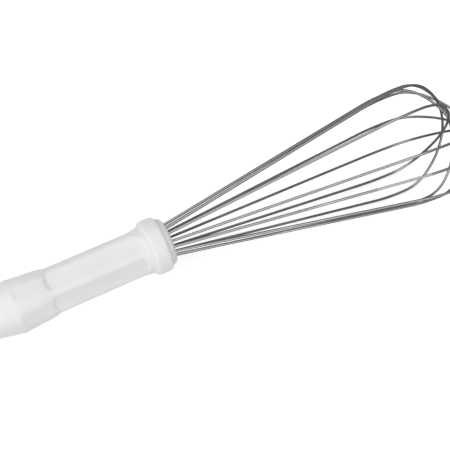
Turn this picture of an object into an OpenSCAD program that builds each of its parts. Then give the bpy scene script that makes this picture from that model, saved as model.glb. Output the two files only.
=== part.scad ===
// Hand whisk with a moulded grip and seven nested wire loops.
// The axis runs along X, from the butt of the grip to the tip of the wires.
// The origin is the centre of the hanging hole. One flat of the grip faces up (+Z).

/* [Wire loops] */
// Diameter of the wire
wire_d = 1.7; // [1.3:0.1:1.7]
// Radius of the circle on which the wires leave the plug
wire_circle_r = 9.8; // [9.7:0.1:9.9]
// Angle at which the legs run away from the axis
leg_spread = 10.75; // [10.5:0.25:11]
// Straight run of a leg, from the plug's face to the first bend
leg_length = 154; // [135:1:180]
// Difference in straight run between loops that nest next to each other
leg_step = 2.5; // [2.5:0.1:3]
// Radius of the long bend where the loops are widest
belly_r = 120; // [110:5:135]
// Angle below the axis at which the long bend ends
belly_turn = 1.25; // [0.75:0.25:2]
// Radius of the tight bend at each shoulder of a loop
shoulder_r = 24.5; // [23:0.5:27]
// Angle below the axis at which the shoulder ends and the crown begins
shoulder_turn = 44; // [42:0.5:46]
// Angle by which the whole set of loops sits askew in the plug
bundle_tilt = 2.75; // [0:0.25:3]
// Direction in which it does so, turned about the axis from straight up
bundle_turn = 140; // [0:1:359]

/* [Wire ends] */
// Bend radius of the tail that hooks behind the anchor disc
tail_bend_r = 1.6; // [1.5:0.1:1.7]
// Straight run of that tail
tail_length = 0.4; // [0.3:0.1:0.5]
// Height by which the round joint between two bends stands out of the wire
joint_proud = 0.03; // [0.02:0.01:0.05]

/* [Front plug] */
// Diameter of the plug's flange
plug_d = 29.8; // [29.2:0.1:30]
// Height by which the flange stands out of the collar
plug_proud = 3.7; // [2.9:0.1:4.5]
// Depth of the flange's seat in the collar
plug_seat = 3; // [2:0.1:4]
// Radius of the flange's front edge
plug_edge_r = 2.6; // [1.5:0.1:2.8]
// Length of the spigot behind the flange
spigot_length = 4; // [3:0.5:8]

/* [Seal and anchor] */
// Length of the cast seal behind the plug
seal_length = 5; // [4:0.5:8]
// Thickness of the disc that the wire tails hook over
anchor_thickness = 2; // [1.5:0.5:3]

/* [Neck] */
// Diameter over the ridges between the flutes
neck_d = 29.6; // [29.2:0.1:30.4]
// Length from the front end of the bulge to the root of the collar
neck_length = 61; // [50:1:90]
// Depth of each flute below the ridges
flute_depth = 1.7; // [1.3:0.1:1.8]
// Radius across the hollow of a flute
flute_r = 60; // [50:5:90]
// Width of a flute's outline
flute_w = 16; // [15:0.5:17]
// Radius of a flute's rounded rear end
flute_end_r = 9; // [8.5:0.5:12]
// Radius of a flute's rounded front end
flute_nose_r = 13; // [10:0.5:14]
// Angle at which the ends of the flutes and of the flats climb
flute_ramp = 35; // [30:5:45]
// Distance from the front end of a flute's floor to the root of the collar
flute_gap = 3; // [3:0.5:9]

/* [Collar] */
// Diameter of the collar
collar_d = 35; // [34.8:0.1:36]
// Length of the collar, from its root to its front end
collar_length = 13; // [11:0.5:20]
// Radius of the collar's rounded front edge
collar_front_r = 2.4; // [1.2:0.1:2.4]
// Radius of the collar's rounded rear edge
collar_back_r = 2.5; // [2:0.1:4]
// Radius of the hollow fillet at the collar's root
collar_root_r = 2.5; // [2:0.5:5]

/* [Bulge and butt] */
// Diameter of the bulge at its widest
girth_d = 34; // [33:0.1:35]
// Length of the bulge from its widest ring to the neck
flare_length = 21.5; // [18:0.5:30]
// Diameter at the front end of the bulge, over the ridges
flare_d = 31.4; // [30.8:0.1:32]
// Length of the slope from the neck up to the bulge
flare_rise = 5; // [3:0.5:7]
// Depth of each flat under the ridge at the front end of the bulge
flat_depth = 1.2; // [1:0.1:1.4]
// Depth of each flat at the widest ring
girth_flat_depth = 0.8; // [0.6:0.1:1]
// Radius that softens the widest ring
girth_edge_r = 5; // [2:1:12]
// Angle of the taper from the widest ring to the butt
butt_taper = 11.4; // [8:0.2:12]
// Distance from the hanging hole to the widest ring
hole_to_girth = 28; // [24:1:30]
// Distance from the hanging hole to the butt end
hole_to_butt = 12; // [11:0.5:14]
// Radius of the butt's rounded edge
butt_edge_r = 9; // [7:0.5:9]

/* [Hanging hole] */
// Diameter of the hanging hole
hang_d = 8; // [6:0.5:9]
// Height of the straight wall of the hanging hole
hang_wall = 20; // [18:0.5:21]
// Angle of the countersink at each end of the hanging hole
hang_flare = 45; // [30:5:60]

/* [Core] */
// Diameter of the hollow core of the grip
core_d = 22.8; // [22.4:0.1:23]
// Distance from the hanging hole to the blind end of the core
core_start = 24; // [18:1:40]
// Radius of the rounding at the blind end of the core
core_edge_r = 6; // [2:0.5:10]

/* [Clearances] */
// Clearance all round the plug, the seal and the anchor disc in the grip
seat_fit = 0.1; // [0.05:0.05:0.2]
// Clearance all round a wire in its bores
wire_fit = 0.1; // [0.05:0.05:0.15]

/* [Hidden] */

// Each loop as it was formed by hand: its turn off an even spacing, its lean
// to one side, its slant within its own plane and what its legs spread over
// the common angle, all in degrees
loop_turns = [0, -4, -0.5, 4.5, 0.5, 2.5, -3];
loop_leans = [-3, -4, -1.5, 0, 0, -0.25, -1];
loop_slants = [-0.25, -0.75, 0, 1, -0.5, -0.25, -0.25];
loop_spreads = [-1, 0.25, 0.75, 1, 0.5, 0.75, -0.75];
// Where each loop leaves the plug, as a share of the common circle's radius
loop_exit_shares = [1.03, 0.94, 1.04, 0.86, 0.98, 0.88, 0.99];
// What each loop's legs run over the common length, in nesting steps
loop_step_shares = [1.9, -0.7, -3, -1, 1.7, 2.5, -0.3];
loop_count = len(loop_turns);
first_loop = -2;
loop_pitch = 180 / loop_count;

flute_count = 6;
flute_pitch = 360 / flute_count;

wire_r = wire_d / 2;
bore_r = wire_r + wire_fit;
neck_r = neck_d / 2;
collar_r = collar_d / 2;
girth_r = girth_d / 2;
flare_r = flare_d / 2;
plug_r = plug_d / 2;
core_r = core_d / 2;
inner_r = core_r - seat_fit;
hang_r = hang_d / 2;

// Places along the axis, from the hanging hole
neck_x = hole_to_girth + flare_length;
root_x = neck_x + neck_length;
collar_x = root_x + collar_length;
plug_x = collar_x + plug_proud;
seat_x = collar_x - plug_seat;
spigot_x = seat_x - spigot_length;
seal_x = spigot_x - seal_length;
anchor_x = seal_x - anchor_thickness;

// One named overrun serves every cut
over = wire_d;
wire_fn = 24;
round_fn = 96;

// Heights above the axis of the flutes' floor and of the bulge's flats
flute_floor = neck_r - flute_depth;
flute_top = flute_depth + over;
flat_floor = flare_r - flat_depth;
girth_flat_floor = girth_r - girth_flat_depth;

// Corner circle of the butt, tucked under the taper
butt_x = butt_edge_r - hole_to_butt;
butt_corner_r = girth_r - (hole_to_girth - butt_x) * tan(butt_taper)
    - butt_edge_r / cos(butt_taper);

// Softening circle under the widest ring, touching the taper and the flare
flare_angle = atan((girth_r - flare_r) / (flare_length - flare_rise));
ring_share = 1 / (1 + cos(butt_taper + flare_angle));
ring_r = girth_r - girth_edge_r * ring_share * (cos(butt_taper) + cos(flare_angle));
ring_x = hole_to_girth + girth_edge_r * ring_share * (sin(butt_taper) - sin(flare_angle));

// Centres of the two circles that shape the collar's root
root_r = neck_r + collar_root_r;
lip_r = collar_r - collar_back_r;
lip_x = root_x + sqrt(pow(collar_root_r + collar_back_r, 2) - pow(root_r - lip_r, 2));

// A loop's place and angle at the plug, its straight run and its leg behind the face
function exit_r(i) = wire_circle_r * loop_exit_shares[i];
function spread(i) = leg_spread + loop_spreads[i];
function leg_run(i) = leg_length + leg_step * loop_step_shares[i];
function back_run(i) = (plug_x - anchor_x) / cos(spread(i));

// Radius of the crown, so that both halves of a loop meet on its own centre line
function crown_r(i) = (exit_r(i) + leg_run(i) * sin(spread(i))
    + belly_r * (cos(belly_turn) - cos(spread(i)))
    + shoulder_r * (cos(shoulder_turn) - cos(belly_turn))) / cos(shoulder_turn);

// Lays a shape that was made along Z along the whisk's axis
module along_axis() {
    rotate([0, 90, 0]) children();
}

// A straight run of wire, with the rest of the wire on its end
module run(length) {
    cylinder(h = length, r = wire_r, $fn = wire_fn);
    translate([0, 0, length]) children();
}

// The round joint where one bend of the wire flows into the next
module joint() {
    sphere(r = wire_r + joint_proud, $fn = wire_fn);
}

// A bend of the wire towards +X, with the rest of the wire on its end
module bend(bend_radius, angle) {
    joint();
    translate([bend_radius, 0, 0]) {
        rotate([90, 0, 180]) rotate_extrude(angle = angle, $fn = round_fn)
            translate([bend_radius, 0]) circle(r = wire_r, $fn = wire_fn);
        rotate([0, angle, 0]) translate([-bend_radius, 0, 0]) children();
    }
}

// The hooked tail at the back end of a leg: a bend away from the axis and a short run
module tail(hook) {
    joint();
    translate([-tail_bend_r, 0, 0]) {
        rotate([-90, 0, 0]) rotate_extrude(angle = hook, $fn = round_fn)
            translate([tail_bend_r, 0]) circle(r = wire_r, $fn = wire_fn);
        rotate([0, hook, 0]) translate([tail_bend_r, 0, 0]) {
            joint();
            translate([0, 0, -tail_length])
                cylinder(h = tail_length, r = wire_r, $fn = wire_fn);
        }
    }
}

// Places a loop's own frame: Z along the whisk, X across it, at the plug's face
module loop_frame(i) {
    translate([plug_x, 0, 0])
        rotate([bundle_turn, 0, 0]) rotate([0, -bundle_tilt, 0])
            rotate([loop_pitch * (i + first_loop) + loop_turns[i] - bundle_turn, 0, 0])
                rotate([0, -loop_slants[i], -loop_leans[i]])
                    along_axis() children();
}

// Stands children at the back end of each leg of a loop, with Z along the leg
// and -X away from the whisk's axis
module leg_frame(i) {
    loop_frame(i) for (side = [0, 180]) rotate([0, 0, side])
        translate([-exit_r(i), 0, 0]) rotate([0, -spread(i), 0])
            translate([0, 0, -back_run(i)]) children();
}

// Bores for the fourteen legs
module leg_bores(radius) {
    for (i = [0 : loop_count - 1])
        leg_frame(i) translate([0, 0, -over])
            cylinder(h = back_run(i) + over + over, r = radius, $fn = wire_fn);
}

// One loop: a leg, a belly bend, a shoulder, the crown and the same way back
module wire_loop(i) {
    loop_frame(i) translate([-exit_r(i), 0, 0]) rotate([0, -spread(i), 0])
        translate([0, 0, -back_run(i)])
            run(back_run(i) + leg_run(i))
            bend(belly_r, spread(i) + belly_turn)
            bend(shoulder_r, shoulder_turn - belly_turn)
            bend(crown_r(i), 180 - 2 * shoulder_turn)
            bend(shoulder_r, shoulder_turn - belly_turn)
            bend(belly_r, spread(i) + belly_turn) {
                joint();
                run(leg_run(i) + back_run(i));
            }
    leg_frame(i) tail(90 + spread(i));
}

// Half outline of the grip, as radius against place along the axis
module grip_outline() {
    t1 = [ring_r + girth_edge_r * cos(butt_taper), ring_x - girth_edge_r * sin(butt_taper)];
    t2 = [ring_r + girth_edge_r * cos(flare_angle), ring_x + girth_edge_r * sin(flare_angle)];
    polygon([
        [0, -hole_to_butt],
        [butt_corner_r, -hole_to_butt],
        [butt_corner_r, butt_x],
        [butt_corner_r + butt_edge_r * cos(butt_taper), butt_x - butt_edge_r * sin(butt_taper)],
        t1,
        t2,
        [flare_r, neck_x - flare_rise],
        [neck_r, neck_x],
        [neck_r, root_x],
        [0, root_x]
    ]);
    intersection() {
        translate([butt_corner_r, butt_x]) circle(r = butt_edge_r, $fn = round_fn);
        translate([0, -hole_to_butt]) square([girth_r, butt_edge_r + over]);
    }
    intersection() {
        translate([ring_r, ring_x]) circle(r = girth_edge_r, $fn = round_fn);
        polygon([[0, t1[1]], t1, [girth_r, hole_to_girth], t2, [0, t2[1]]]);
    }
    difference() {
        polygon([[0, root_x], [root_r, root_x], [lip_r, lip_x], [0, lip_x]]);
        translate([root_r, root_x]) circle(r = collar_root_r, $fn = round_fn);
    }
    translate([lip_r, lip_x]) circle(r = collar_back_r, $fn = round_fn);
    translate([0, lip_x]) square([collar_r, collar_x - collar_front_r - lip_x]);
    translate([0, lip_x]) square([collar_r - collar_front_r, collar_x - lip_x]);
    translate([collar_r - collar_front_r, collar_x - collar_front_r])
        circle(r = collar_front_r, $fn = round_fn);
}

// Half outline of the hollow core and of the flange's seat at its mouth
module core_outline() {
    translate([0, core_start + core_edge_r])
        square([core_r, collar_x - core_start - core_edge_r + over]);
    translate([0, core_start]) square([core_r - core_edge_r, core_edge_r + over]);
    intersection() {
        translate([core_r - core_edge_r, core_start + core_edge_r])
            circle(r = core_edge_r, $fn = round_fn);
        translate([0, core_start]) square([core_r, core_edge_r + over]);
    }
    translate([0, seat_x]) square([plug_r + seat_fit, plug_seat + over]);
}

// Rounded end of a flute, whose floor climbs outwards
module flute_end(x, radius) {
    translate([x, 0, flute_floor])
        cylinder(h = flute_top, r1 = radius, r2 = radius + flute_top / tan(flute_ramp),
                 $fn = round_fn);
}

// Cutter for the flute on the upper side: a shallow scoop that climbs at both ends
module flute_cutter() {
    rear_x = neck_x + flute_end_r;
    front_x = root_x - flute_gap - flute_nose_r;
    intersection() {
        translate([hole_to_girth, 0, flute_floor + flute_r]) along_axis()
            cylinder(h = collar_x - hole_to_girth, r = flute_r, $fn = round_fn);
        translate([hole_to_girth, -flute_w / 2, flute_floor])
            cube([collar_x - hole_to_girth, flute_w, flute_top]);
        union() {
            flute_end(rear_x, flute_end_r);
            translate([rear_x, -flute_end_r, flute_floor])
                cube([front_x - rear_x, 2 * flute_end_r, flute_top]);
            flute_end(front_x, flute_nose_r);
        }
    }
}

// Cutter for the flat on the upper side of the bulge, from the widest ring into the flute
module flat_cutter() {
    start_x = hole_to_girth + girth_flat_depth / tan(flute_ramp);
    slope = (girth_flat_floor - flat_floor) / (neck_x - start_x);
    rotate([90, 0, 0]) linear_extrude(height = girth_d, center = true) polygon([
        [hole_to_girth - over / tan(flute_ramp), girth_r + over],
        [start_x, girth_flat_floor],
        [neck_x + over, flat_floor - slope * over],
        [neck_x + over, girth_r + over]
    ]);
}

module grip() {
    color([0.95, 0.95, 0.94]) difference() {
        along_axis() rotate_extrude($fn = round_fn) grip_outline();
        for (k = [0 : flute_count - 1]) rotate([k * flute_pitch, 0, 0]) {
            flute_cutter();
            flat_cutter();
        }
        along_axis() rotate_extrude($fn = round_fn) core_outline();
        cylinder(h = girth_d + over, r = hang_r, center = true, $fn = round_fn);
        for (side = [0, 180]) rotate([side, 0, 0]) translate([0, 0, hang_wall / 2])
            cylinder(h = girth_r, r1 = hang_r, r2 = hang_r + girth_r * tan(hang_flare), $fn = round_fn);
    }
}

module front_plug() {
    color([0.9, 0.9, 0.88]) difference() {
        translate([spigot_x, 0, 0]) along_axis() rotate_extrude($fn = round_fn) {
            square([inner_r, spigot_length]);
            translate([0, spigot_length])
                square([plug_r, plug_seat + plug_proud - plug_edge_r]);
            translate([0, spigot_length])
                square([plug_r - plug_edge_r, plug_seat + plug_proud]);
            translate([plug_r - plug_edge_r, spigot_length + plug_seat + plug_proud - plug_edge_r])
                circle(r = plug_edge_r, $fn = round_fn);
        }
        leg_bores(bore_r);
    }
}

module seal() {
    color([0.8, 0.72, 0.5]) difference() {
        translate([seal_x, 0, 0]) along_axis()
            cylinder(h = seal_length, r = inner_r, $fn = round_fn);
        leg_bores(bore_r);
    }
}

module anchor_disc() {
    color([0.6, 0.6, 0.62]) difference() {
        translate([anchor_x, 0, 0]) along_axis()
            cylinder(h = anchor_thickness, r = inner_r, $fn = round_fn);
        leg_bores(bore_r);
    }
}

module wire_loop_1() { color([0.6, 0.6, 0.6]) wire_loop(0); }
module wire_loop_2() { color([0.62, 0.62, 0.62]) wire_loop(1); }
module wire_loop_3() { color([0.64, 0.64, 0.64]) wire_loop(2); }
module wire_loop_4() { color([0.66, 0.66, 0.66]) wire_loop(3); }
module wire_loop_5() { color([0.64, 0.64, 0.64]) wire_loop(4); }
module wire_loop_6() { color([0.62, 0.62, 0.62]) wire_loop(5); }
module wire_loop_7() { color([0.6, 0.6, 0.6]) wire_loop(6); }

grip();
front_plug();
seal();
anchor_disc();
wire_loop_1();
wire_loop_2();
wire_loop_3();
wire_loop_4();
wire_loop_5();
wire_loop_6();
wire_loop_7();
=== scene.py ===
"""Looks of a hand whisk: a fluted white moulded grip, a front plug and seven bent steel loops.

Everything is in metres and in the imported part's own frame: X runs from the butt of the grip
to the tip of the wires, and the origin is the centre of the hanging hole.
"""

import logging
import math
from dataclasses import dataclass
from enum import Enum

import bmesh
import bpy
from mathutils import Matrix, Vector


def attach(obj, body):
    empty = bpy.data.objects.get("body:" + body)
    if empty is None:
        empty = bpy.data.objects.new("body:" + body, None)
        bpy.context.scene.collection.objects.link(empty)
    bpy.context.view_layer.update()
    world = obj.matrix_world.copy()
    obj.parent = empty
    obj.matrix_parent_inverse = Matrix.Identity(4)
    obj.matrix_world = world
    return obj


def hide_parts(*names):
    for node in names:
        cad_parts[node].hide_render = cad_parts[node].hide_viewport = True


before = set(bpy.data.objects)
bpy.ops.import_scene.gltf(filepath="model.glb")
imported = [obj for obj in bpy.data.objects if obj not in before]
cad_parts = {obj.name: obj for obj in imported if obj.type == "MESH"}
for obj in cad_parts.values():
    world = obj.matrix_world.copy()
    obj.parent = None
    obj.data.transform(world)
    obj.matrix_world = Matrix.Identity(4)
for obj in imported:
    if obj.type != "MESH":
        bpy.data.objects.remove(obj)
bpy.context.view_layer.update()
LOG = logging.getLogger("whisk")
MM = 0.001
AXIS = Vector((1.0, 0.0, 0.0))
# Most of a noise's values fall between these two
NOISE_REACH = (0.3, 0.7)

Colour = tuple[float, float, float]
Pair = tuple[float, float]
Triple = tuple[float, float, float]
Piece = bpy.types.Object
Material = bpy.types.Material
Socket = bpy.types.NodeSocket
Mesh = bmesh.types.BMesh


class Slot(Enum):
    """Material slots of the record."""

    GRIP = "grip"
    PLUG = "plug"
    SEAL = "seal"
    ANCHOR = "anchor"
    WIRE = "wire"


class Shade(Enum):
    """How a finished mesh is shaded."""

    SMOOTH = True
    FLAT = False


# Node helpers


class Nodes:
    """A material's node tree with short ways to add and join nodes."""

    def __init__(self, name: str) -> None:
        """Makes an empty node material.

        Args:
            name: name of the material.
        """
        self.material = bpy.data.materials.new(name)
        self.material.use_nodes = True
        self.tree = self.material.node_tree
        self.tree.nodes.clear()
        self.out = self.tree.nodes.new("ShaderNodeOutputMaterial")

    def add(self, kind: str, **settings: object) -> bpy.types.Node:
        """Adds a node.

        Args:
            kind: the node's type, without its ShaderNode start.
            settings: attributes to set on it.

        Returns:
            The new node.
        """
        node = self.tree.nodes.new("ShaderNode" + kind)
        for key, value in settings.items():
            setattr(node, key, value)
        return node

    def join(self, source: Socket, target: Socket) -> None:
        """Links one socket to another."""
        self.tree.links.new(source, target)

    def coords(self, scale: Triple = (1.0, 1.0, 1.0)) -> Socket:
        """Object coordinates, stretched.

        Args:
            scale: factor on each axis.

        Returns:
            The vector socket.
        """
        place = self.add("TexCoord")
        stretch = self.add("Mapping")
        stretch.inputs["Scale"].default_value = scale
        self.join(place.outputs["Object"], stretch.inputs["Vector"])
        return stretch.outputs["Vector"]

    def noise(self, vector: Socket, scale: float, detail: float = 3.0,
              rough: float = 0.5) -> Socket:
        """Noise on a vector.

        Args:
            vector: where it is read.
            scale: spots per metre, roughly.
            detail: octaves.
            rough: strength of the finer octaves.

        Returns:
            The socket with values round 0.5.
        """
        node = self.add("TexNoise")
        node.inputs["Scale"].default_value = scale
        node.inputs["Detail"].default_value = detail
        node.inputs["Roughness"].default_value = rough
        self.join(vector, node.inputs["Vector"])
        return node.outputs["Fac"]

    def span(self, value: Socket, low: float, high: float, to_low: float,
             to_high: float) -> Socket:
        """Maps a value's range onto another, held at its ends.

        Args:
            value: the socket that is mapped.
            low: its lower end.
            high: its upper end.
            to_low: what the lower end becomes.
            to_high: what the upper end becomes.

        Returns:
            The mapped socket.
        """
        node = self.add("MapRange")
        node.interpolation_type = "SMOOTHSTEP"
        limits = {"From Min": low, "From Max": high, "To Min": to_low, "To Max": to_high}
        for name, number in limits.items():
            node.inputs[name].default_value = number
        self.join(value, node.inputs["Value"])
        return node.outputs["Result"]

    def blend(self, share: Socket, first: Socket | Colour, second: Colour) -> Socket:
        """Mixes two colours.

        Args:
            share: how much of the second colour shows.
            first: colour at a share of 0, or its socket.
            second: colour at a share of 1.

        Returns:
            The colour socket.
        """
        node = self.add("Mix", data_type="RGBA")
        if isinstance(first, Socket):
            self.join(first, node.inputs["A"])
        else:
            node.inputs["A"].default_value = (*first, 1.0)
        node.inputs["B"].default_value = (*second, 1.0)
        self.join(share, node.inputs["Factor"])
        return node.outputs["Result"]

    def math(self, operation: str, first: Socket, second: Socket | float) -> Socket:
        """Joins two values with an operation.

        Args:
            operation: the Math node's operation.
            first: a socket.
            second: a socket or a number.

        Returns:
            The result's socket.
        """
        node = self.add("Math", operation=operation)
        self.join(first, node.inputs[0])
        if isinstance(second, Socket):
            self.join(second, node.inputs[1])
        else:
            node.inputs[1].default_value = second
        return node.outputs[0]

    def bump(self, height: Socket, depth: float, strength: float) -> Socket:
        """Turns a height into a bumped normal.

        Args:
            height: socket from 0 to 1.
            depth: depth of a height of 1, in metres.
            strength: share of the bump that shows.

        Returns:
            The normal socket.
        """
        node = self.add("Bump")
        node.inputs["Distance"].default_value = depth
        node.inputs["Strength"].default_value = strength
        self.join(height, node.inputs["Height"])
        return node.outputs["Normal"]

    def principled(self, **sockets: float | tuple) -> bpy.types.Node:
        """Adds the surface shader and joins it to the output.

        Args:
            sockets: constants, by socket name with _ for a space.

        Returns:
            The shader node.
        """
        shader = self.add("BsdfPrincipled")
        for name, value in sockets.items():
            shader.inputs[name.replace("_", " ")].default_value = value
        self.join(shader.outputs[0], self.out.inputs["Surface"])
        return shader


# Finishes


@dataclass(frozen=True)
class MouldedPlastic:
    """Tough white moulding plastic with a fine satin skin."""

    name: str
    colour: Colour = (0.835, 0.835, 0.836)
    shadowed: Colour = (0.805, 0.805, 0.806)
    roughness: Pair = (0.44, 0.56)
    refraction: float = 1.42
    glow: float = 0.45
    glow_depth: float = 2.0 * MM
    glow_tint: Triple = (1.0, 1.0, 1.0)
    drift_scale: float = 40.0
    drift_reach: Pair = (0.35, 0.7)
    satin_scale: float = 260.0
    skin_scale: float = 1400.0
    skin_depth: float = 0.02 * MM
    skin_strength: float = 0.6

    def make(self) -> Material:
        """Builds the material: slow tint drift, satin patches and a fine orange-peel skin.

        Returns:
            The material.
        """
        n = Nodes(self.name)
        place = n.coords()
        shader = n.principled(IOR=self.refraction, Subsurface_Weight=self.glow,
                              Subsurface_Scale=self.glow_depth, Subsurface_Radius=self.glow_tint)
        drift = n.span(n.noise(place, self.drift_scale), *self.drift_reach, 0.0, 1.0)
        n.join(n.blend(drift, self.colour, self.shadowed), shader.inputs["Base Color"])
        satin = n.noise(place, self.satin_scale, 4.0, 0.6)
        n.join(n.span(satin, *NOISE_REACH, *self.roughness), shader.inputs["Roughness"])
        skin = n.noise(place, self.skin_scale, 2.0)
        n.join(n.bump(skin, self.skin_depth, self.skin_strength), shader.inputs["Normal"])
        return n.material


@dataclass(frozen=True)
class FrostedBand:
    """A plain band, frosted on a wire between two places along it."""

    start: float = 151.0 * MM
    end: float = 186.0 * MM
    fade: float = 0.5 * MM
    colour: Colour = (0.24, 0.24, 0.242)
    roughness: float = 0.6

    def share(self, n: Nodes, run: Socket) -> Socket:
        """Where the band is.

        Args:
            n: the material's nodes.
            run: how far along the wire a point is.

        Returns:
            The socket, 1 in the band and 0 elsewhere.
        """
        begun = n.span(run, self.start - self.fade, self.start + self.fade, 0.0, 1.0)
        not_over = n.span(run, self.end - self.fade, self.end + self.fade, 1.0, 0.0)
        return n.math("MULTIPLY", begun, not_over)


@dataclass(frozen=True)
class DrawnSteel:
    """Polished spring steel wire with faint drawing lines and patches of painted reflection."""

    name: str
    colour: Colour = (0.12, 0.12, 0.122)
    # Lighter colour of the slow patches, which are painted reflection of the lamps
    painted_reflection: Colour = (0.17, 0.17, 0.172)
    edge: tuple[float, ...] = (0.60, 0.60, 0.60, 1.0)
    roughness: Pair = (0.2, 0.34)
    painted_reflection_scale: float = 30.0
    painted_reflection_reach: Pair = (0.5, 0.72)
    line_scale: Triple = (3.5, 3.5, 30.0)
    line_depth: float = 0.006 * MM
    line_strength: float = 0.5

    def make(self, band: FrostedBand | None = None) -> Material:
        """Builds the material: slow patches of painted reflection, fine lines along the wire's
        run.

        Args:
            band: a frosted band on the wire, if it has one.

        Returns:
            The material.
        """
        n = Nodes(self.name + ("_banded" if band else ""))
        skin = n.add("Attribute", attribute_name="skin")
        stretch, parts = n.add("Mapping"), n.add("SeparateXYZ")
        stretch.inputs["Scale"].default_value = self.line_scale
        n.join(skin.outputs["Vector"], stretch.inputs["Vector"])
        n.join(skin.outputs["Vector"], parts.inputs["Vector"])
        lines = n.noise(stretch.outputs["Vector"], 1.0, 3.0, 0.6)
        shader = n.principled(Metallic=1.0, Specular_Tint=self.edge)
        # Painted reflection: noise lays lighter patches of the lamps' streaks into the colour
        painted_reflections = n.noise(n.coords(), self.painted_reflection_scale, 2.0)
        colour = n.blend(n.span(painted_reflections, *self.painted_reflection_reach, 0.0, 1.0), self.colour, self.painted_reflection)
        roughness = n.span(lines, *NOISE_REACH, *self.roughness)
        if band:
            share = band.share(n, parts.outputs["Z"])
            colour = n.blend(share, colour, band.colour)
            roughness = n.math("MAXIMUM", roughness, n.math("MULTIPLY", share, band.roughness))
        n.join(n.bump(lines, self.line_depth, self.line_strength), shader.inputs["Normal"])
        n.join(colour, shader.inputs["Base Color"])
        n.join(roughness, shader.inputs["Roughness"])
        return n.material


@dataclass(frozen=True)
class CastResin:
    """The seal's cast resin, amber with a little cloud in it."""

    name: str
    colour: Colour = (0.62, 0.50, 0.28)
    cloud: Colour = (0.70, 0.60, 0.38)
    refraction: float = 1.52
    gloss: float = 0.4
    gloss_roughness: float = 0.08
    cloud_scale: float = 90.0
    satin_scale: float = 300.0
    roughness: Pair = (0.12, 0.3)

    def make(self) -> Material:
        """Builds the material: slow clouds under a skin that is glossy in places.

        Returns:
            The material.
        """
        n = Nodes(self.name)
        place = n.coords()
        shader = n.principled(IOR=self.refraction, Coat_Weight=self.gloss,
                              Coat_Roughness=self.gloss_roughness)
        clouds, satin = n.noise(place, self.cloud_scale, 4.0), n.noise(place, self.satin_scale)
        n.join(n.blend(clouds, self.colour, self.cloud), shader.inputs["Base Color"])
        n.join(n.span(satin, *NOISE_REACH, *self.roughness), shader.inputs["Roughness"])
        return n.material


@dataclass(frozen=True)
class BrushedSteel:
    """Pressed steel with lines brushed across it."""

    name: str
    colour: Colour = (0.52, 0.52, 0.53)
    line: Colour = (0.42, 0.42, 0.43)
    roughness: Pair = (0.28, 0.42)
    line_scale: Triple = (300.0, 60.0, 3000.0)
    line_depth: float = 0.01 * MM
    line_strength: float = 0.5

    def make(self) -> Material:
        """Builds the material: fine lines in its colour, its shine and its skin.

        Returns:
            The material.
        """
        n = Nodes(self.name)
        lines = n.noise(n.coords(self.line_scale), 1.0, 4.0, 0.6)
        shader = n.principled(Metallic=1.0)
        colour = n.blend(n.span(lines, *NOISE_REACH, 0.0, 1.0), self.colour, self.line)
        n.join(colour, shader.inputs["Base Color"])
        n.join(n.span(lines, *NOISE_REACH, *self.roughness), shader.inputs["Roughness"])
        n.join(n.bump(lines, self.line_depth, self.line_strength), shader.inputs["Normal"])
        return n.material


# Pieces


def finish_mesh(bm: Mesh, name: str, shade: Shade = Shade.SMOOTH) -> Piece:
    """Turns a bmesh into an object at the origin.

    Args:
        bm: the mesh, in the part's frame.
        name: name of the piece.
        shade: smooth or flat.

    Returns:
        The new object, linked to the scene.
    """
    mesh = bpy.data.meshes.new(name)
    bm.to_mesh(mesh)
    bm.free()
    mesh.polygons.foreach_set("use_smooth", [shade.value] * len(mesh.polygons))
    piece = bpy.data.objects.new(name, mesh)
    bpy.context.scene.collection.objects.link(piece)
    return piece


def enrol(piece: Piece, slot: Slot, material: Material, *nodes: str) -> None:
    """Gives a new piece its finish, hangs it on the root body and hides the nodes it stands for.

    Args:
        piece: the piece.
        slot: the record's material slot.
        material: its finish.
        nodes: the part's nodes that it stands for.
    """
    piece.data.materials.clear()
    piece.data.materials.append(material)
    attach(piece, "root")
    if nodes:
        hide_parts(*nodes)
    LOG.info("%s: %d faces, slot %s", piece.name, len(piece.data.polygons), slot.value)


def redress(node: str, material: Material) -> None:
    """Gives a node of the part a better material.

    Args:
        node: the node's name.
        material: its finish.
    """
    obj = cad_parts[node]
    obj.data.materials.clear()
    obj.data.materials.append(material)
    LOG.info("%s: kept from the part", node)


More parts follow.
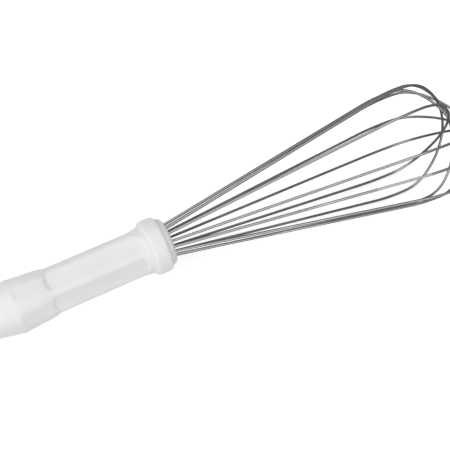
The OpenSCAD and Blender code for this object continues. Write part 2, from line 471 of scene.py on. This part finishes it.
@dataclass
class Grip:
    """The moulded grip, with every edge softened as the mould's are.

    The soft runs are the stretches along X where the long edges are rounded further: the
    flats on the bulge, then the flutes on the neck.
    """

    merge_gap: float = 0.001 * MM
    voxel: float = 0.54 * MM
    smooth_share: float = 0.5
    passes: int = 3
    soft_passes: int = 8
    soft_runs: tuple[Pair, ...] = ((27.0 * MM, 42.0 * MM), (50.0 * MM, 105.0 * MM))
    mouth: float = 123.5 * MM
    seat_radius: float = 15.08 * MM
    seat_depth: float = 3.05 * MM
    seat_sides: int = 192
    sharp_angle: float = 50.0
    finish: MouldedPlastic = MouldedPlastic("moulded_white")

    def soften(self, bm: Mesh) -> None:
        """Rounds every edge a little, and the long edges of the flutes and flats more.

        Args:
            bm: the grip's mesh.
        """
        long_edges = [v for v in bm.verts
                      if any(low < v.co.x < high for low, high in self.soft_runs)]
        for verts, passes in ((bm.verts, self.passes), (long_edges, self.soft_passes)):
            for _ in range(passes):
                bmesh.ops.smooth_vert(bm, verts=verts, factor=self.smooth_share,
                                      use_axis_x=True, use_axis_y=True, use_axis_z=True)

    def seat_cutter(self) -> Piece:
        """Makes the round tool that trims the plug's seat true again.

        Returns:
            The tool's object.
        """
        bm = bmesh.new()
        turn = Matrix.Translation(AXIS * self.mouth) @ Matrix.Rotation(math.radians(90.0), 4, "Y")
        bmesh.ops.create_cone(bm, cap_ends=True, segments=self.seat_sides, matrix=turn,
                              radius1=self.seat_radius, radius2=self.seat_radius,
                              depth=2.0 * self.seat_depth)
        return finish_mesh(bm, "seat_cutter")

    def build(self) -> Piece:
        """Copies the part's grip, remeshes it evenly and softens its edges.

        Returns:
            The piece.
        """
        bm = bmesh.new()
        bm.from_mesh(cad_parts["grip"].data)
        bmesh.ops.remove_doubles(bm, verts=bm.verts, dist=self.merge_gap)
        rough = finish_mesh(bm, "grip_rough")
        remesh = rough.modifiers.new("even", "REMESH")
        remesh.mode = "VOXEL"
        remesh.voxel_size = self.voxel
        bm = bmesh.new()
        bm.from_object(rough, bpy.context.evaluated_depsgraph_get())
        bpy.data.objects.remove(rough)
        self.soften(bm)
        soft, cutter = finish_mesh(bm, "grip_soft"), self.seat_cutter()
        trim = soft.modifiers.new("seat", "BOOLEAN")
        trim.operation, trim.solver, trim.object = "DIFFERENCE", "EXACT", cutter
        bm = bmesh.new()
        bm.from_object(soft, bpy.context.evaluated_depsgraph_get())
        for tool in (soft, cutter):
            bpy.data.objects.remove(tool)
        piece = finish_mesh(bm, "grip_moulding")
        piece.data.set_sharp_from_angle(angle=math.radians(self.sharp_angle))
        LOG.info("grip: %d triangles", sum(len(p.vertices) - 2 for p in piece.data.polygons))
        return piece

    def dress(self, piece: Piece) -> None:
        """Gives the grip its plastic."""
        enrol(piece, Slot.GRIP, self.finish.make(), "grip")


@dataclass
class Plug:
    """The front plug that closes the collar."""

    finish: MouldedPlastic = MouldedPlastic(
        "plug_white", colour=(0.73, 0.73, 0.73), shadowed=(0.69, 0.69, 0.69),
        roughness=(0.42, 0.58))

    def dress(self) -> None:
        """Gives the part's own plug its plastic."""
        redress("front_plug", self.finish.make())


@dataclass
class Core:
    """What is inside the grip: the cast seal and the anchor disc."""

    resin: CastResin = CastResin("seal_resin")
    steel: BrushedSteel = BrushedSteel("anchor_steel")

    def dress(self) -> None:
        """Gives the hidden pieces their finishes."""
        redress("seal", self.resin.make())
        redress("anchor_disc", self.steel.make())


class Bender:
    """Bends one wire the way a forming tool does, in its own plane.

    Z runs along the whisk from the plug's face and X across it. The heading is the angle from
    Z towards X.
    """

    def __init__(self, start: Vector, heading: float, radius: float, sides: int) -> None:
        """Starts a wire with one ring.

        Args:
            start: centre of the first ring.
            heading: direction of the wire there, in degrees.
            radius: radius of the wire.
            sides: points round it.
        """
        self.bm = bmesh.new()
        self.skin = self.bm.verts.layers.float_vector.new("skin")
        self.place = start.copy()
        self.heading = heading
        self.length = 0.0
        turn = Matrix.Translation(start) @ Matrix.Rotation(math.radians(heading), 4, "Y")
        made = bmesh.ops.create_circle(self.bm, cap_ends=False, radius=radius, segments=sides,
                                       matrix=turn)
        for v in made["verts"]:
            across = turn.inverted() @ v.co / radius
            v[self.skin] = Vector((across.x, across.y, 0.0))
        self.ring = list({e for v in made["verts"] for e in v.link_edges})
        self.first = list(self.ring)

    def direction(self, offset: float = 0.0) -> Vector:
        """Unit vector of the heading plus an offset in degrees."""
        angle = math.radians(self.heading + offset)
        return Vector((math.sin(angle), 0.0, math.cos(angle)))

    def _stamp(self, verts: list[bmesh.types.BMVert], length: float) -> None:
        """Writes how far along the wire the given points are, beside their place round it."""
        for v in verts:
            v[self.skin] = Vector((*v[self.skin][:2], length))

    def run(self, length: float, parts: int = 1) -> None:
        """Adds a straight run.

        Args:
            length: its length.
            parts: rings in it.
        """
        for _ in range(parts):
            made = bmesh.ops.extrude_edge_only(self.bm, edges=self.ring)["geom"]
            verts = [g for g in made if isinstance(g, bmesh.types.BMVert)]
            bmesh.ops.translate(self.bm, verts=verts, vec=self.direction() * (length / parts))
            self.length += length / parts
            self._stamp(verts, self.length)
            self.ring = [g for g in made if isinstance(g, bmesh.types.BMEdge)
                         and all(v in verts for v in g.verts)]
        self.place += self.direction() * length

    def bend(self, radius: float, angle: float, steps: int) -> None:
        """Adds a bend.

        Args:
            radius: of the wire's centre line.
            angle: in degrees, towards X where it is positive.
            steps: rings in it.
        """
        side = math.copysign(1.0, angle)
        centre = self.place + self.direction(90.0) * (radius * side)
        for _ in range(steps):
            turned = bmesh.ops.spin(self.bm, geom=self.ring, cent=centre, axis=(0.0, 1.0, 0.0),
                                    dvec=(0.0, 0.0, 0.0), angle=math.radians(angle / steps),
                                    steps=1, use_merge=False, use_normal_flip=False,
                                    use_duplicate=False)
            made = turned["geom_last"]
            self.length += radius * math.radians(abs(angle)) / steps
            self._stamp([g for g in made if isinstance(g, bmesh.types.BMVert)], self.length)
            self.ring = [g for g in made if isinstance(g, bmesh.types.BMEdge)]
        self.heading += angle
        self.place = centre - self.direction(90.0) * (radius * side)

    def close(self) -> Mesh:
        """Caps both ends and turns every face outwards.

        Returns:
            The finished mesh.
        """
        for ring in (self.first, self.ring):
            bmesh.ops.contextual_create(self.bm, geom=ring)
        bmesh.ops.recalc_face_normals(self.bm, faces=self.bm.faces)
        return self.bm


@dataclass(frozen=True)
class LoopShape:
    """What all seven loops share, as in the part's source, with angles in degrees."""

    wire_radius: float = 0.85 * MM
    circle_radius: float = 9.8 * MM
    spread: float = 10.75
    leg_length: float = 154.0 * MM
    leg_step: float = 2.5 * MM
    belly_radius: float = 120.0 * MM
    belly_turn: float = 1.25
    shoulder_radius: float = 24.5 * MM
    shoulder_turn: float = 44.0
    tail_radius: float = 1.6 * MM
    tail_length: float = 0.4 * MM
    face: float = 127.2 * MM
    back: float = 17.7 * MM
    pitch: float = 180.0 / 7.0
    tilt: float = 2.75
    tilt_turn: float = 140.0
    upright: int = 3
    sides: int = 28
    tail_steps: int = 10
    leg_steps: int = 6
    belly_steps: int = 10
    shoulder_steps: int = 18
    crown_steps: int = 40


@dataclass
class WireLoop:
    """One bent loop: two legs, two belly bends, two shoulders and a crown."""

    index: int
    turn: float
    lean: float
    slant: float
    extra_spread: float
    exit_share: float
    step_share: float
    shape: LoopShape = LoopShape()

    def frame_matrix(self) -> Matrix:
        """Where the loop's own plane stands in the part's frame.

        Returns:
            The matrix that takes the loop's Z and X to the part's frame.
        """
        s = self.shape
        spin = s.pitch * (self.index - s.upright) + self.turn - s.tilt_turn
        steps = ((s.tilt_turn, "X"), (-s.tilt, "Y"), (spin, "X"),
                 (-self.lean, "Z"), (-self.slant, "Y"), (90.0, "Y"))
        matrix = Matrix.Translation(AXIS * s.face)
        for angle, axis in steps:
            matrix = matrix @ Matrix.Rotation(math.radians(angle), 4, axis)
        return matrix

    def spread(self) -> float:
        """Angle at which this loop's legs run away from the axis, in degrees."""
        return self.shape.spread + self.extra_spread

    def exit_radius(self) -> float:
        """Distance from the axis at which a leg leaves the plug."""
        return self.shape.circle_radius * self.exit_share

    def exits(self) -> list[tuple[Vector, Vector]]:
        """Where the two legs leave the plug's flat face.

        Returns:
            A point on the face and the leg's direction, for each leg.
        """
        matrix = self.frame_matrix()
        lean = math.radians(self.spread())
        found = []
        for side in (-1.0, 1.0):
            start = matrix @ Vector((side * self.exit_radius(), 0.0, 0.0))
            leg = matrix.to_3x3() @ Vector((side * math.sin(lean), 0.0, math.cos(lean)))
            leg /= leg.x
            found.append((start + leg * (self.shape.face - start.x), leg))
        return found

    def leg_run(self) -> float:
        """Straight run of a leg in front of the plug's face."""
        return self.shape.leg_length + self.shape.leg_step * self.step_share

    def crown_radius(self) -> float:
        """Works out how wide the loop is where its crown begins.

        Returns:
            The radius at which the crown joins both halves of the loop.
        """
        s = self.shape
        spread, belly, shoulder = (math.cos(math.radians(angle)) for angle in
                                   (self.spread(), s.belly_turn, s.shoulder_turn))
        width = self.exit_radius() + self.leg_run() * math.sin(math.radians(self.spread()))
        width += s.belly_radius * (belly - spread) + s.shoulder_radius * (shoulder - belly)
        return width / shoulder

    def build(self) -> Piece:
        """Bends the wire and lays it in the part's frame.

        Returns:
            The piece.
        """
        s = self.shape
        spread = self.spread()
        hook = 90.0 + spread
        back_run = s.back / math.cos(math.radians(spread))
        leg = Vector((math.sin(math.radians(-spread)), 0.0, math.cos(math.radians(spread))))
        out = Vector((-leg.z, 0.0, leg.x))
        exit_place = Vector((-self.exit_radius(), 0.0, 0.0))
        hook_centre = exit_place - leg * back_run + out * s.tail_radius
        start = hook_centre - Vector((s.tail_length, 0.0, s.tail_radius))
        wire = Bender(start, 90.0, s.wire_radius, s.sides)
        wire.run(s.tail_length)
        wire.bend(s.tail_radius, -hook, s.tail_steps)
        wire.run(back_run + self.leg_run(), s.leg_steps)
        wire.bend(s.belly_radius, spread + s.belly_turn, s.belly_steps)
        wire.bend(s.shoulder_radius, s.shoulder_turn - s.belly_turn, s.shoulder_steps)
        wire.bend(self.crown_radius(), 180.0 - 2.0 * s.shoulder_turn, s.crown_steps)
        wire.bend(s.shoulder_radius, s.shoulder_turn - s.belly_turn, s.shoulder_steps)
        wire.bend(s.belly_radius, spread + s.belly_turn, s.belly_steps)
        wire.run(back_run + self.leg_run(), s.leg_steps)
        wire.bend(s.tail_radius, -hook, s.tail_steps)
        wire.run(s.tail_length)
        bm = wire.close()
        bmesh.ops.transform(bm, matrix=self.frame_matrix(), verts=bm.verts)
        return finish_mesh(bm, f"steel_loop_{self.index}")


@dataclass
class Balloon:
    """The seven nested loops."""

    turns: tuple[float, ...] = (0, -4, -0.5, 4.5, 0.5, 2.5, -3)
    leans: tuple[float, ...] = (-3, -4, -1.5, 0, 0, -0.25, -1)
    slants: tuple[float, ...] = (-0.25, -0.75, 0, 1, -0.5, -0.25, -0.25)
    spreads: tuple[float, ...] = (-1, 0.25, 0.75, 1, 0.5, 0.75, -0.75)
    exit_shares: tuple[float, ...] = (1.03, 0.94, 1.04, 0.86, 0.98, 0.88, 0.99)
    step_shares: tuple[float, ...] = (1.9, -0.7, -3, -1, 1.7, 2.5, -0.3)
    banded: int = 5
    finish: DrawnSteel = DrawnSteel("drawn_steel")
    band: FrostedBand = FrostedBand()

    def loops(self) -> list[WireLoop]:
        """The seven loops, not yet bent."""
        each = zip(self.turns, self.leans, self.slants, self.spreads, self.exit_shares,
                   self.step_shares)
        return [WireLoop(i, *values) for i, values in enumerate(each, 1)]

    def build(self) -> list[Piece]:
        """Bends and dresses all the loops.

        Returns:
            The pieces.
        """
        plain, banded = self.finish.make(), self.finish.make(self.band)
        pieces = []
        for loop in self.loops():
            piece = loop.build()
            material = banded if loop.index == self.banded else plain
            enrol(piece, Slot.WIRE, material, f"wire_loop_{loop.index}")
            pieces.append(piece)
        return pieces


@dataclass
class Sealant:
    """The small fillets of sealant that close the plug's bores round the wires."""

    rise: float = 0.55 * MM
    sunk: float = 0.3 * MM
    overlap: float = 0.05 * MM
    arc_steps: int = 5
    sides: int = 28
    finish: MouldedPlastic = MouldedPlastic(
        "sealant_white", colour=(0.72, 0.715, 0.69), shadowed=(0.68, 0.675, 0.65),
        roughness=(0.22, 0.36))

    def ring(self, bm: Mesh, point: Vector, leg: Vector, wire_radius: float) -> None:
        """Adds one fillet round a wire.

        Args:
            bm: the mesh that it goes into.
            point: where the wire's middle crosses the plug's face.
            leg: the wire's direction, 1 long along the whisk.
            wire_radius: radius of the wire.
        """
        inner = wire_radius - self.overlap
        outline = [(inner, -self.sunk), (inner, self.rise)]
        for step in range(self.arc_steps + 1):
            angle = math.radians(90.0 * step / self.arc_steps)
            outline.append((wire_radius + self.rise * (1.0 - math.cos(angle)),
                            self.rise * (1.0 - math.sin(angle))))
        outline.append((wire_radius + self.rise, -self.sunk))
        before = set(bm.verts)
        verts = [bm.verts.new((across, 0.0, along)) for across, along in outline]
        edges = [bm.edges.new((a, b)) for a, b in zip(verts, verts[1:] + verts[:1])]
        bmesh.ops.spin(bm, geom=verts + edges, cent=(0.0, 0.0, 0.0), axis=(0.0, 0.0, 1.0),
                       dvec=(0.0, 0.0, 0.0), angle=math.tau, steps=self.sides, use_merge=True,
                       use_normal_flip=False, use_duplicate=False)
        columns = Matrix((Vector((0.0, 1.0, 0.0)), Vector((0.0, 0.0, 1.0)), leg))
        slanted = Matrix.Translation(point) @ columns.transposed().to_4x4()
        made = [v for v in bm.verts if v not in before]
        bmesh.ops.transform(bm, matrix=slanted, verts=made)

    def build(self, loops: list[WireLoop]) -> Piece:
        """Makes every fillet, as one piece.

        Args:
            loops: the loops whose legs it seals.

        Returns:
            The piece.
        """
        bm = bmesh.new()
        for loop in loops:
            for point, leg in loop.exits():
                self.ring(bm, point, leg, loop.shape.wire_radius)
        bmesh.ops.recalc_face_normals(bm, faces=bm.faces)
        piece = finish_mesh(bm, "plug_sealant")
        enrol(piece, Slot.PLUG, self.finish.make())
        return piece


# Studio


@dataclass
class Table:
    """The white table that the whisk lies on, its belly and its balloon touching it."""

    reach: float = 6.0
    cells: int = 4
    gap: float = 0.05 * MM
    belly_end: float = 60.0 * MM
    balloon_start: float = 200.0 * MM
    steepest: float = 0.3
    halvings: int = 30
    colour: Colour = (0.82, 0.82, 0.82)
    lift: float = 0.5
    mirrored_lift: float = 0.2

    @staticmethod
    def lowest(points: list[Vector], slope: float) -> float:
        """Height at the origin of a plane of that slope just under the points."""
        return min(p.z + p.x * math.tan(slope) for p in points)

    def resting_slope(self, pieces: list[Piece]) -> Pair:
        """Finds the table's slope along X and its height at the origin.

        Args:
            pieces: the pieces that may touch it.

        Returns:
            Slope in radians and height.
        """
        points = [v.co for p in pieces for v in p.data.vertices]
        back = [p for p in points if p.x < self.belly_end]
        front = [p for p in points if p.x > self.balloon_start]
        low, high = 0.0, self.steepest
        for _ in range(self.halvings):
            slope = (low + high) / 2
            if self.lowest(front, slope) < self.lowest(back, slope):
                low = slope
            else:
                high = slope
        return slope, self.lowest(back, slope)

    def build(self, pieces: list[Piece]) -> Piece:
        """Lays the table under the pieces.

        Args:
            pieces: what lies on it.

        Returns:
            The table.
        """
        slope, height = self.resting_slope(pieces)
        LOG.info("table: slope %.2f degrees, height %.1f mm", math.degrees(slope), height / MM)
        bm = bmesh.new()
        lowered = Matrix.Translation((0.0, 0.0, height - self.gap))
        bmesh.ops.create_grid(bm, x_segments=self.cells, y_segments=self.cells, size=self.reach,
                              matrix=lowered @ Matrix.Rotation(slope, 4, "Y"))
        table = finish_mesh(bm, "table", Shade.FLAT)
        table.data.materials.append(self.finish())
        return table

    def finish(self) -> Material:
        """Builds white paper that stays white to the camera and keeps the whisk's shadow.

        Returns:
            The material, clear when it is seen from under the table.
        """
        n = Nodes("table_white")
        paper = n.add("BsdfDiffuse")
        paper.inputs["Color"].default_value = (*self.colour, 1.0)
        glow = n.add("Emission")
        path = n.add("LightPath")
        # The glow is only for what looks at the paper, so it lights nothing on it
        seen = n.math("MULTIPLY", path.outputs["Is Camera Ray"], self.lift)
        mirrored = n.math("MAXIMUM", path.outputs["Is Glossy Ray"],
                          path.outputs["Is Transmission Ray"])
        mirrored = n.math("MULTIPLY", mirrored, self.mirrored_lift)
        n.join(n.math("MAXIMUM", seen, mirrored), glow.inputs["Strength"])
        both = n.add("AddShader")
        n.join(paper.outputs[0], both.inputs[0])
        n.join(glow.outputs[0], both.inputs[1])
        under = n.add("BsdfTransparent")
        side = n.add("NewGeometry")
        sheet = n.add("MixShader")
        n.join(side.outputs["Backfacing"], sheet.inputs[0])
        n.join(both.outputs[0], sheet.inputs[1])
        n.join(under.outputs[0], sheet.inputs[2])
        n.join(sheet.outputs[0], n.out.inputs["Surface"])
        return n.material


@dataclass(frozen=True)
class SoftBox:
    """One rectangular soft box, hung over a point and facing it, with angles in degrees."""

    name: str
    radiance: float
    box: Pair
    distance: float = 1.5
    towards_tip: float = -12.0
    facing: float = 21.0
    aim: Triple = (0.2, 0.0, 0.0)
    on_plastic: bool = True
    on_steel: bool = True

    def build(self) -> Piece:
        """Makes the lamp, unseen by the camera.

        Returns:
            The lamp.
        """
        light = bpy.data.lights.new(self.name, "AREA")
        light.shape = "RECTANGLE"
        light.size, light.size_y = self.box
        light.energy = self.radiance * math.pi * self.box[0] * self.box[1]
        lamp = bpy.data.objects.new(self.name, light)
        bpy.context.scene.collection.objects.link(lamp)
        turn = Matrix.Rotation(math.radians(self.facing), 4, "X") @ Matrix.Rotation(
            math.radians(self.towards_tip), 4, "Y")
        away = Matrix.Translation((0.0, 0.0, self.distance))
        lamp.matrix_world = Matrix.Translation(self.aim) @ turn @ away
        lamp.visible_camera = False
        lamp.visible_diffuse = self.on_plastic
        lamp.visible_glossy = self.on_steel
        return lamp


@dataclass
class Studio:
    """White room light, a large soft box over the whisk and the strip that the steel mirrors."""

    room: float = 0.6
    key: SoftBox = SoftBox("soft_box", 0.8, (1.9, 3.0), towards_tip=-34.0, facing=16.0,
                           on_steel=False)
    strip: SoftBox = SoftBox("steel_strip", 3.1, (1.9, 7.0), on_plastic=False)

    def build(self) -> None:
        """Makes the world and the lamps."""
        world = bpy.data.worlds.new("room")
        bpy.context.scene.world = world
        world.use_nodes = True
        tree = world.node_tree
        tree.nodes.clear()
        kinds = ("LightPath", "Background", "OutputWorld", "Math", "Math", "MapRange")
        path, back, out, seen, more, level = (tree.nodes.new("ShaderNode" + k) for k in kinds)
        back.inputs["Color"].default_value = (1.0, 1.0, 1.0, 1.0)
        seen.operation = more.operation = "MAXIMUM"
        join = tree.links.new
        # The camera and the steel see a full white room, and matt surfaces a dimmer one
        join(path.outputs["Is Camera Ray"], seen.inputs[0])
        join(path.outputs["Is Glossy Ray"], seen.inputs[1])
        join(seen.outputs[0], more.inputs[0])
        join(path.outputs["Is Transmission Ray"], more.inputs[1])
        level.inputs["To Min"].default_value = self.room
        level.inputs["To Max"].default_value = 1.0
        join(more.outputs[0], level.inputs["Value"])
        join(level.outputs["Result"], back.inputs["Strength"])
        join(back.outputs[0], out.inputs["Surface"])
        for box in (self.key, self.strip):
            box.build()


@dataclass
class PhotoCamera:
    """The photograph's camera, found from the run of the wires, with angles in degrees."""

    sensor: float = 36.0
    farthest: float = 50.0
    tilt: float = 13.0
    roll: float = 23.506
    facing: float = 21.0
    distance: float = 0.65
    scale: float = 0.61 * MM
    anchor: Triple = (0.1285, 0.0, 0.0)
    anchor_pixel: Pair = (169.7, 238.9)
    side: int = 450

    def build(self) -> Piece:
        """Makes the camera and makes it the scene's.

        Returns:
            The camera.
        """
        t, r, f = (math.radians(a) for a in (self.tilt, self.roll, self.facing))
        near = Vector((0.0, -math.sin(f), math.cos(f)))
        down = Vector((0.0, -math.cos(f), -math.sin(f)))
        along = math.cos(t) * AXIS + math.sin(t) * near
        right = math.cos(r) * along + math.sin(r) * down
        low = math.cos(r) * down - math.sin(r) * along
        back = math.cos(t) * near - math.sin(t) * AXIS
        middle = (self.side - 1) / 2
        shift_x, shift_y = (self.scale * (middle - p) for p in self.anchor_pixel)
        place = Vector(self.anchor) + shift_x * right + shift_y * low + self.distance * back
        data = bpy.data.cameras.new("camera")
        data.sensor_width = self.sensor
        data.lens = data.sensor_width * self.distance / (self.side * self.scale)
        data.clip_end = self.farthest
        camera = bpy.data.objects.new("camera", data)
        bpy.context.scene.collection.objects.link(camera)
        columns = Matrix((right, -low, back)).transposed().to_4x4()
        camera.matrix_world = Matrix.Translation(place) @ columns
        bpy.context.scene.camera = camera
        return camera


def main() -> None:
    """Builds every piece in order, then the studio."""
    logging.basicConfig(level=logging.INFO, format="%(name)s: %(message)s")
    PhotoCamera().build()
    grip = Grip()
    moulding = grip.build()
    grip.dress(moulding)
    Plug().dress()
    Core().dress()
    balloon = Balloon()
    wires = balloon.build()
    Sealant().build(balloon.loops())
    Table().build([moulding, *wires])
    Studio().build()
    bpy.context.scene.view_settings.view_transform = "Standard"


if __name__ == "__main__":
    main()
